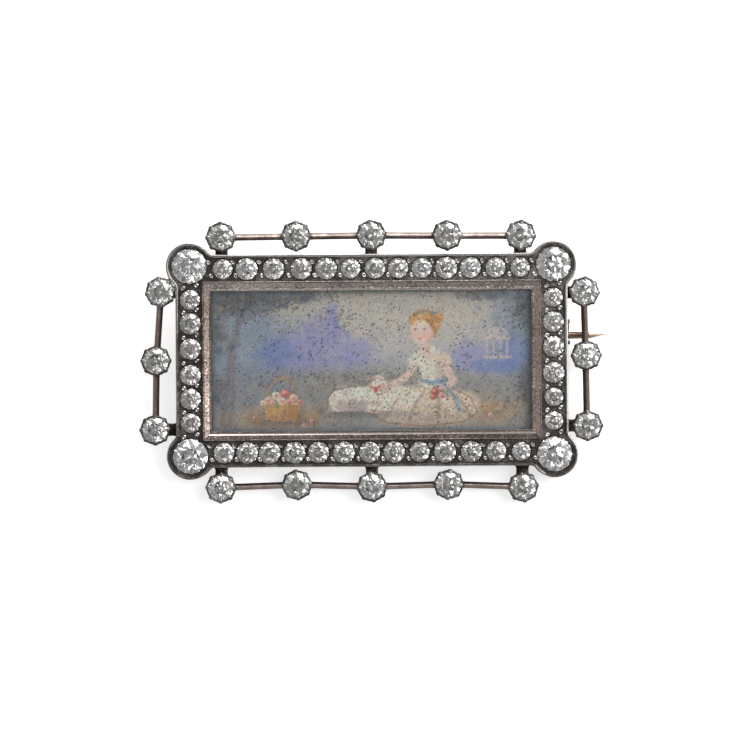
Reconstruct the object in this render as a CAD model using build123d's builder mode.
"""A diamond-framed brooch with a painted miniature under glass.

The brooch is drawn face up in its own frame, its length along X, its width along Y, its front
towards +Z and the back of its metal on Z = 0. At the end every piece is laid down together, the
way the brooch lies on a table: on the hinge, the catch and the lower row of collets.
"""

import os
from math import atan, atan2, cos, degrees, radians, sin, tan

from build123d import *

os.makedirs("parts", exist_ok=True)

# The band that carries the small stones, with a lobe at each corner
band_length = 42.4
band_breadth = 23.0
band_width = 2.86
band_depth = 2.2
rim_width = 0.3
rim_height = 0.3
lobe_radius = 2.54
lobe_fillet = 0.8
lobe_inset_x = 1.5
lobe_inset_y = 1.23

# Stones by diameter, and the metal left between them
corner_stone = 3.8
border_stone = 2.27
gallery_stone = 2.9
border_stone_gap = 0.41
corner_stone_gap = 0.58
stone_clearance = 0.04
stone_row_inset = 1.3
girdle_level = 2.1
open_back_share = 0.5

# The cut of every stone, as shares of its radius, and its two main angles
table_share = 0.5
star_share = 0.725
lower_facet_share = 0.35
culet_share = 0.08
girdle_share = 0.05
crown_angle = 36.0
pavilion_angle = 42.0

# Beads of metal raised between the small stones
grain_radius = 0.24
grain_spread = 0.72
grain_stagger = 0.14

# Inner frame, glass, painting and back
fit_gap = 0.04
bezel_face = 1.04
bezel_wall = 0.6
bezel_top = 2.7
bezel_slope_run = 0.85
bezel_slope_drop = 0.35
plate_thickness = 0.6
plate_chamfer = 0.15
painting_thickness = 0.6
glass_thickness = 0.8
glass_bevel = 0.3

# Outer row of collets, the rails between them and the pegs behind them
gallery_stand = 2.03
gallery_lobe_gap_long = 3.45
gallery_lobe_gap_short = 2.89
gallery_girdle_level = 2.2
collet_back_radius = 1.0
collet_top_radius = 1.42
claw_count = 8
claw_radius = 0.17
claw_tip_radius = 0.2
claw_foot_radius = 1.08
claw_foot_level = 0.9
claw_tip_ring = 1.43
claw_rise = 0.24
rail_width = 0.68
rail_depth = 1.2
rail_shoulder = 0.4
rail_top = 1.8
rail_back_share = 0.6
peg_width = 1.4
peg_height = 1.0
peg_level = 0.35

# Pin, hinge and catch behind the brooch. The hinge is set at a slant, so that the wire leaves the
# catch sideways through its mouth.
pin_radius = 0.5
pin_tip_radius = 0.06
pin_drop = 1.12
pin_y = 2.7
pin_reach = 4.5
pin_taper = 1.95
pin_thinning = 0.03
hinge_slant = 25.0
hinge_play = 0.06
eye_radius = 0.8
eye_width = 1.1
ear_width = 0.6
rivet_radius = 0.3
rivet_play = 0.03
rivet_head_radius = 0.45
rivet_head_height = 0.15
catch_above = 1.64
catch_below = 1.1
catch_wall = 0.42
catch_length = 1.9
catch_overhang = 0.43
catch_corner = 0.6
catch_play = 0.1

# How unevenly the small stones are set by hand. Each row of a table is one stone, counted from the
# left or from the top: its shift along the row as a share of the pitch, and its size as a share.
top_setting = (
    (0.00, 0.96), (-0.03, 1.05), (0.06, 1.02), (0.17, 1.02), (0.17, 1.04), (0.16, 0.95), (0.14, 1.00),
    (0.08, 0.98), (0.03, 0.96), (0.02, 1.05), (0.00, 1.00), (0.01, 0.96), (0.00, 0.93),
)  # fmt: skip
bottom_setting = (
    (0.00, 0.98), (-0.06, 1.03), (-0.15, 1.04), (-0.15, 1.04), (-0.18, 1.02), (-0.15, 1.04), (-0.12, 1.00),
    (-0.13, 1.02), (-0.10, 0.97), (-0.08, 1.06), (-0.01, 1.01), (-0.02, 0.98), (0.00, 0.90),
)  # fmt: skip
left_setting = ((0.00, 0.95), (-0.03, 1.02), (0.00, 1.00), (0.06, 0.98), (0.03, 1.00), (0.00, 0.95))
right_setting = ((0.00, 0.93), (-0.02, 1.00), (-0.01, 1.02), (0.05, 1.04), (0.04, 0.91), (0.00, 0.90))

# The same for the outer collets: shift along as a share of the pitch, distance from the band as a
# share of gallery_stand, and whether a peg joins the collet to the band.
top_collets = ((0.0, 0.94, True), (0.0, 0.97, False), (0.0, 1.0, True), (0.01, 0.96, False), (-0.01, 0.94, True))
bottom_collets = (
    (-0.02, 1.08, True), (-0.01, 0.95, False), (-0.01, 1.08, True), (0.01, 0.98, False), (0.0, 1.14, True),
)  # fmt: skip
left_collets = ((-0.02, 0.80, True), (-0.01, 1.06, False), (0.0, 1.13, True))
right_collets = ((0.02, 0.89, True), (-0.05, 0.97, False), (-0.02, 1.02, True))

# Places that follow from those sizes
half_length = band_length / 2
half_breadth = band_breadth / 2
window_length = band_length - 2 * band_width
window_breadth = band_breadth - 2 * band_width
lobe_x = half_length - lobe_inset_x
lobe_y = half_breadth - lobe_inset_y
row_x = window_length / 2 + stone_row_inset
row_y = window_breadth / 2 + stone_row_inset
rim_top = band_depth + rim_height

bezel_length = window_length - 2 * fit_gap
bezel_breadth = window_breadth - 2 * fit_gap
sight_length = bezel_length - 2 * bezel_face
sight_breadth = bezel_breadth - 2 * bezel_face
inlay_length = bezel_length - 2 * (bezel_wall + fit_gap)
inlay_breadth = bezel_breadth - 2 * (bezel_wall + fit_gap)
painting_level = plate_thickness + fit_gap
glass_level = painting_level + painting_thickness + fit_gap
lip_level = glass_level + glass_thickness + fit_gap

hinge_x = -row_x
hinge_half = eye_width / 2 + hinge_play + ear_width
slant = radians(hinge_slant)
pin_line = Plane(origin=(hinge_x, pin_y, -pin_drop), x_dir=(1, 0, 0), z_dir=(0, cos(slant), -sin(slant)))
pin_tip_x = half_length + pin_reach


def stone_rings(diameter):
    """Radius and height of each ring of corners of a stone whose girdle lies at height 0."""
    radius = diameter / 2
    girdle = girdle_share * radius / 2
    crown = tan(radians(crown_angle))
    pavilion = tan(radians(pavilion_angle))
    kite = cos(radians(22.5))
    table = table_share * radius
    star = star_share * radius
    lower = lower_facet_share * radius
    culet = culet_share * radius
    return {
        "table": (table, girdle + (radius - table) * crown),
        "star": (star, girdle + (radius - star * kite) * crown),
        "girdle top": (radius, girdle),
        "girdle foot": (radius, -girdle),
        "lower": (lower, -girdle - (radius - lower * kite) * pavilion),
        "culet": (culet, -girdle - (radius - culet) * pavilion),
    }


def old_cut_stone(diameter):
    """A round old-cut stone: a sixteen-sided prism with every facet cut off by its own plane."""
    ring = stone_rings(diameter)
    # copies, angle of the first one, then the ring above or outside and the ring below or inside
    facets = (
        (8, 0.0, "table", "girdle top", 0.0, 0.0),
        (8, 22.5, "table", "star", 22.5, 0.0),
        (16, 11.25, "star", "girdle top", 11.25, 11.25),
        (8, 0.0, "girdle foot", "culet", 0.0, 0.0),
        (16, 11.25, "girdle foot", "lower", 11.25, 11.25),
    )
    with BuildPart() as stone:
        with BuildSketch(Plane.XY.offset(ring["culet"][1])):
            RegularPolygon(diameter / 2, 16)
        extrude(amount=ring["table"][1] - ring["culet"][1])
        for count, first, upper, under, upper_turn, under_turn in facets:
            upper_radius, upper_height = ring[upper]
            under_radius, under_height = ring[under]
            upper_radius *= cos(radians(upper_turn))
            under_radius *= cos(radians(under_turn))
            rise = upper_height - under_height
            run = under_radius - upper_radius
            for copy in range(count):
                turn = radians(first + 360 / count * copy)
                facet = Plane(
                    origin=(upper_radius * cos(turn), upper_radius * sin(turn), upper_height),
                    z_dir=(rise * cos(turn), rise * sin(turn), run),
                )
                split(bisect_by=facet, keep=Keep.BOTTOM)
    return stone.part


def seat(diameter, level):
    """The hole for a stone: the stone's own profile with a clearance, and an open back."""
    ring = stone_rings(diameter)
    gap = stone_clearance
    table_radius, table_height = ring["table"]
    star_radius, star_height = ring["star"]
    radius, girdle_top = ring["girdle top"]
    lower_radius, lower_height = ring["lower"]
    opening = open_back_share * radius
    pavilion_share = (radius - opening) / (radius - lower_radius)
    opening_height = -girdle_top + (lower_height + girdle_top) * pavilion_share
    with BuildPart() as hole:
        with BuildSketch(Plane.XZ):
            with BuildLine():
                Polyline(
                    (0, table_height + gap),
                    (table_radius + gap, table_height + gap),
                    (star_radius + gap, star_height + gap),
                    (radius + gap, girdle_top + gap),
                    (radius + gap, -girdle_top - gap),
                    (opening + gap, opening_height - gap),
                    (opening + gap, -level - gap),
                    (0, -level - gap),
                    close=True,
                )
            make_face()
        revolve(axis=Axis.Z)
    return hole.part


def set_row(corner_reach, setting):
    """Stones of one row as (place along it, diameter), and its grains as (along, across)."""
    reach = corner_reach - corner_stone / 2 - corner_stone_gap - border_stone / 2
    gaps = max(1, round(2 * reach / (border_stone + border_stone_gap)))
    pitch = 2 * reach / gaps
    stones = []
    edges = [corner_stone / 2 - corner_reach]
    for number in range(gaps + 1):
        shift, size = setting[number % len(setting)]
        along = (number + shift) * pitch - reach
        diameter = size * border_stone
        stones.append((along, diameter))
        edges += [along - diameter / 2, along + diameter / 2]
    edges.append(corner_reach - corner_stone / 2)
    grains = []
    for left, right in zip(edges[0::2], edges[1::2]):
        middle = (left + right) / 2
        grains.append((middle - grain_stagger, grain_spread))
        grains.append((middle + grain_stagger, -grain_spread))
    return stones, grains


def collet_places(middle, along, outward, reach, table):
    """Centres of one side's collets, and whether each has a peg."""
    pitch = 2 * reach / (len(table) - 1)
    places = []
    for number, (shift, stand, pegged) in enumerate(table):
        step = along * ((number + shift) * pitch - reach)
        places.append((middle + step + outward * (stand * gallery_stand), pegged))
    return places


def rail(start, end):
    """A knife-edge bar from one collet to the next, its ridge to the front."""
    half = rail_width / 2
    run = end - start
    with BuildPart() as bar:
        with BuildSketch(Plane(origin=start, x_dir=(0, 0, 1), z_dir=run)):
            with BuildLine():
                Polyline(
                    (rail_top, 0),
                    (rail_top - rail_shoulder, half),
                    (rail_top - rail_depth, half * rail_back_share),
                    (rail_top - rail_depth, -half * rail_back_share),
                    (rail_top - rail_shoulder, -half),
                    close=True,
                )
            make_face()
        extrude(amount=run.length)
    return bar.part


# One stone one millimetre across is cut once, and every stone is a copy of it at its own size
pattern_stone = old_cut_stone(1.0)


def stone_at(place, diameter, level):
    """A stone of the given diameter with its girdle at the given level over a point."""
    return Location((place.X, place.Y, level)) * pattern_stone.scale(diameter)


# Small stones and grains, side by side round the band
along_x, along_y = Vector(1, 0), Vector(0, 1)
band_sides = (
    (along_y * row_y, along_x, along_y, lobe_x, top_setting),
    (along_y * -row_y, along_x, along_y, lobe_x, bottom_setting),
    (along_x * -row_x, along_y * -1, along_x, lobe_y, left_setting),
    (along_x * row_x, along_y * -1, along_x, lobe_y, right_setting),
)
small_stones = []
grain_places = []
for middle, along, across, corner_reach, setting in band_sides:
    stones, grains = set_row(corner_reach, setting)
    small_stones += [(middle + along * place, diameter) for place, diameter in stones]
    grain_places += [middle + along * place + across * spread for place, spread in grains]

corners = [Vector(x, y) for y in (lobe_y, -lobe_y) for x in (-lobe_x, lobe_x)]

# Collets of the outer row, side by side
long_reach = lobe_x - gallery_lobe_gap_long
short_reach = lobe_y - gallery_lobe_gap_short
gallery_sides = (
    collet_places(along_y * half_breadth, along_x, along_y, long_reach, top_collets),
    collet_places(along_y * -half_breadth, along_x, along_y * -1, long_reach, bottom_collets),
    collet_places(along_x * -half_length, along_y * -1, along_x * -1, short_reach, left_collets),
    collet_places(along_x * half_length, along_y * -1, along_x, short_reach, right_collets),
)
outward_sides = (along_y, along_y * -1, along_x * -1, along_x)

# How the brooch leans when it lies on the lowest corner of the hinge and on its lower collets
hinge_low_y = pin_y + hinge_half * cos(slant) - eye_radius * sin(slant)
hinge_low = pin_drop + hinge_half * sin(slant) + eye_radius * cos(slant)
lower_row = max(-place.Y for place, pegged in gallery_sides[1]) + collet_back_radius
lean = atan(hinge_low / (lower_row + hinge_low_y))
catch_drop = hinge_low - (hinge_low_y - pin_y) * tan(lean)

# A collet, still solid inside: a tapered cup with its claws
claw_lean = degrees(atan2(claw_tip_ring - claw_foot_radius, gallery_girdle_level + claw_rise - claw_foot_level))
claw_length = (gallery_girdle_level + claw_rise - claw_foot_level) / cos(radians(claw_lean))
with BuildPart() as collet:
    with BuildSketch():
        Circle(collet_back_radius)
    with BuildSketch(Plane.XY.offset(gallery_girdle_level)):
        Circle(collet_top_radius)
    loft()
    with PolarLocations(0, claw_count):
        with Locations(Location((claw_foot_radius, 0, claw_foot_level), (0, claw_lean, 0))):
            Cylinder(claw_radius, claw_length, align=(Align.CENTER, Align.CENTER, Align.MIN))
            with Locations((0, 0, claw_length)):
                Sphere(claw_tip_radius)

collets = []
rails = []
pegs = []
gallery_seats = []
gallery_stones = []
for places, outward in zip(gallery_sides, outward_sides):
    for place, pegged in places:
        collets.append(Location(place) * collet.part)
        gallery_seats.append(
            Location((place.X, place.Y, gallery_girdle_level)) * seat(gallery_stone, gallery_girdle_level)
        )
        gallery_stones.append(stone_at(place, gallery_stone, gallery_girdle_level))
        if pegged:
            root = place - outward * (gallery_stand * 1.3)
            peg = Plane(origin=(root.X, root.Y, peg_level), x_dir=outward, z_dir=(0, 0, 1))
            peg_box = Box(
                (place - root).length, peg_width, peg_height,
                align=(Align.MIN, Align.CENTER, Align.MIN), mode=Mode.PRIVATE,
            )  # fmt: skip
            pegs.append(peg.location * peg_box)
    for (start, _), (end, _) in zip(places, places[1:]):
        rails.append(rail(start, end))

# The hinge's two ears, on the slanted line of the rivet
with BuildPart() as ears:
    for side in (-1, 1):
        near = side * (eye_width / 2 + hinge_play)
        with BuildSketch(pin_line.offset(near)):
            Circle(eye_radius)
            with Locations((0, -2 * eye_radius)):
                Rectangle(2 * eye_radius, 4 * eye_radius)
            Circle(rivet_radius + rivet_play, mode=Mode.SUBTRACT)
        extrude(amount=side * ear_width)
    split(bisect_by=Plane.XY, keep=Keep.BOTTOM)

# The catch: a strip bent round into a C, with its mouth at the side that the wire swings out of
catch_end = half_length + catch_overhang
catch_middle = pin_y + (catch_above - catch_below) / 2
catch_breadth = catch_above + catch_below
with BuildPart() as catch:
    with BuildSketch(Plane.YZ.offset(catch_end)):
        with Locations((catch_middle, -catch_drop / 2)):
            RectangleRounded(catch_breadth, catch_drop, catch_corner)
            RectangleRounded(
                catch_breadth - 2 * catch_wall, catch_drop - 2 * catch_wall, catch_corner - catch_wall / 2,
                mode=Mode.SUBTRACT,
            )  # fmt: skip
        with Locations((catch_middle, -catch_wall / 2)):
            Rectangle(catch_breadth, catch_wall)
        with Locations((pin_y, -pin_drop)):
            Rectangle(
                2 * (pin_radius + catch_play), 2 * catch_drop,
                rotation=-hinge_slant, align=(Align.CENTER, Align.MAX), mode=Mode.SUBTRACT,
            )  # fmt: skip
    extrude(amount=-catch_length)
    with Locations((catch_end, catch_middle, 0)):
        Box(
            2 * catch_overhang, 2 * catch_breadth, 2 * (pin_drop - pin_radius),
            mode=Mode.SUBTRACT,
        )  # fmt: skip

# Border: all the soldered metal, as one solid
seats = [Location((c.X, c.Y, girdle_level)) * seat(corner_stone, girdle_level) for c in corners]
seats += [
    Location((place.X, place.Y, girdle_level)) * seat(diameter, girdle_level)
    for place, diameter in small_stones
]
with BuildPart() as border:
    with BuildSketch() as outline:
        Rectangle(band_length, band_breadth)
        with Locations(corners):
            Circle(lobe_radius)
        fillet(outline.vertices(), lobe_fillet)
    extrude(amount=rim_top)
    with BuildSketch(Plane.XY.offset(band_depth)):
        offset(outline.sketch, amount=-rim_width)
    extrude(amount=rim_height, mode=Mode.SUBTRACT)
    with BuildSketch():
        Rectangle(window_length, window_breadth)
    extrude(amount=rim_top, mode=Mode.SUBTRACT)
    with Locations([(place.X, place.Y, band_depth) for place in grain_places]):
        Sphere(grain_radius)
    add(collets + rails + pegs)
    add(seats + gallery_seats, mode=Mode.SUBTRACT)
    add([ears.part, catch.part])

# Bezel: the inner frame, mitred, sloping down to the lip that holds the glass
with BuildPart() as bezel:
    with BuildSketch(Plane.XY.offset(painting_level)):
        Rectangle(bezel_length, bezel_breadth)
    extrude(amount=bezel_top - painting_level)
    with BuildSketch(Plane.XY.offset(painting_level)):
        Rectangle(inlay_length + 2 * fit_gap, inlay_breadth + 2 * fit_gap)
    extrude(amount=lip_level - painting_level, mode=Mode.SUBTRACT)
    with BuildSketch(Plane.XY.offset(painting_level)):
        Rectangle(sight_length, sight_breadth)
    extrude(amount=bezel_top - painting_level, mode=Mode.SUBTRACT)
    with BuildSketch(Plane.XY.offset(bezel_top - bezel_slope_drop)):
        Rectangle(sight_length, sight_breadth)
    with BuildSketch(Plane.XY.offset(bezel_top)):
        Rectangle(sight_length + 2 * bezel_slope_run, sight_breadth + 2 * bezel_slope_run)
    loft(mode=Mode.SUBTRACT)

# Cover glass, bevelled along its front edges
with BuildPart() as cover_glass:
    with BuildSketch(Plane.XY.offset(glass_level)):
        Rectangle(inlay_length, inlay_breadth)
    extrude(amount=glass_thickness)
    chamfer(cover_glass.faces().sort_by(Axis.Z)[-1].edges(), glass_bevel)

# Miniature: the thin painted wafer
with BuildPart() as miniature:
    with BuildSketch(Plane.XY.offset(painting_level)):
        Rectangle(inlay_length, inlay_breadth)
    extrude(amount=painting_thickness)

# Back plate, closing the window from behind
with BuildPart() as back_plate:
    with BuildSketch():
        Rectangle(bezel_length, bezel_breadth)
    extrude(amount=plate_thickness)
    chamfer(back_plate.faces().sort_by(Axis.Z)[0].edges(), plate_chamfer)

# Rivet of the hinge, headed at both ends
with BuildPart() as hinge_rivet:
    with BuildSketch(pin_line.offset(-hinge_half)):
        Circle(rivet_radius)
    extrude(amount=2 * hinge_half)
    for side in (-1, 1):
        with BuildSketch(pin_line.offset(side * hinge_half)):
            Circle(rivet_head_radius)
        extrude(amount=side * rivet_head_height)

# Pin stem: the wire with its eye on the rivet, drawn thinner past the catch and filed to a point
taper_start = pin_tip_x - pin_taper
thin_start = catch_end - catch_length - pin_radius
with BuildPart() as pin_stem:
    with BuildSketch(Plane.XZ.offset(-pin_y)):
        with BuildLine():
            Polyline(
                (hinge_x, -pin_drop),
                (hinge_x, -pin_drop + pin_radius),
                (thin_start, -pin_drop + pin_radius),
                (taper_start, -pin_drop + pin_radius - pin_thinning),
                (pin_tip_x, -pin_drop + pin_tip_radius),
                (pin_tip_x, -pin_drop),
                close=True,
            )
        make_face()
    revolve(axis=Axis((hinge_x, pin_y, -pin_drop), (1, 0, 0)))
    with BuildSketch(pin_line.offset(-eye_width / 2)):
        Circle(eye_radius)
    extrude(amount=eye_width)
    with BuildSketch(pin_line.offset(-eye_width / 2)):
        Circle(rivet_radius + rivet_play)
    extrude(amount=eye_width, mode=Mode.SUBTRACT)

# Small stones of the band, loose in one piece
with BuildPart() as border_stones:
    add([stone_at(place, diameter, girdle_level) for place, diameter in small_stones])

# Every piece gets its name
border.part.label = "border"
bezel.part.label = "bezel"
cover_glass.part.label = "cover_glass"
miniature.part.label = "miniature"
back_plate.part.label = "back_plate"
hinge_rivet.part.label = "hinge_rivet"
pin_stem.part.label = "pin_stem"
border_stones.part.label = "border_stones"
pieces = [
    border.part,
    bezel.part,
    cover_glass.part,
    miniature.part,
    back_plate.part,
    hinge_rivet.part,
    pin_stem.part,
    border_stones.part,
]
for number, corner in enumerate(corners, start=1):
    stone = stone_at(corner, corner_stone, girdle_level)
    stone.label = f"corner_stone_{number}"
    pieces.append(stone)
for number, stone in enumerate(gallery_stones, start=1):
    stone.label = f"gallery_stone_{number}"
    pieces.append(stone)

# The finished brooch is laid down, with the middle of its footprint at the origin
leaning = Location((0, 0, 0), (degrees(lean), 0, 0))
laid = Compound([leaning * piece for piece in pieces]).bounding_box()
lying = Location((-laid.center().X, -laid.center().Y, -laid.min.Z)) * leaning
for piece in pieces:
    export_step(lying * piece, f"parts/{piece.label}.step")

hinge_place = (lying * Location((hinge_x, pin_y, -pin_drop))).position
print(f"lean {degrees(lean):.4f} degrees, size {laid.size}")
print(f"hinge at {hinge_place}, origin of the flat drawing at {lying.position}")
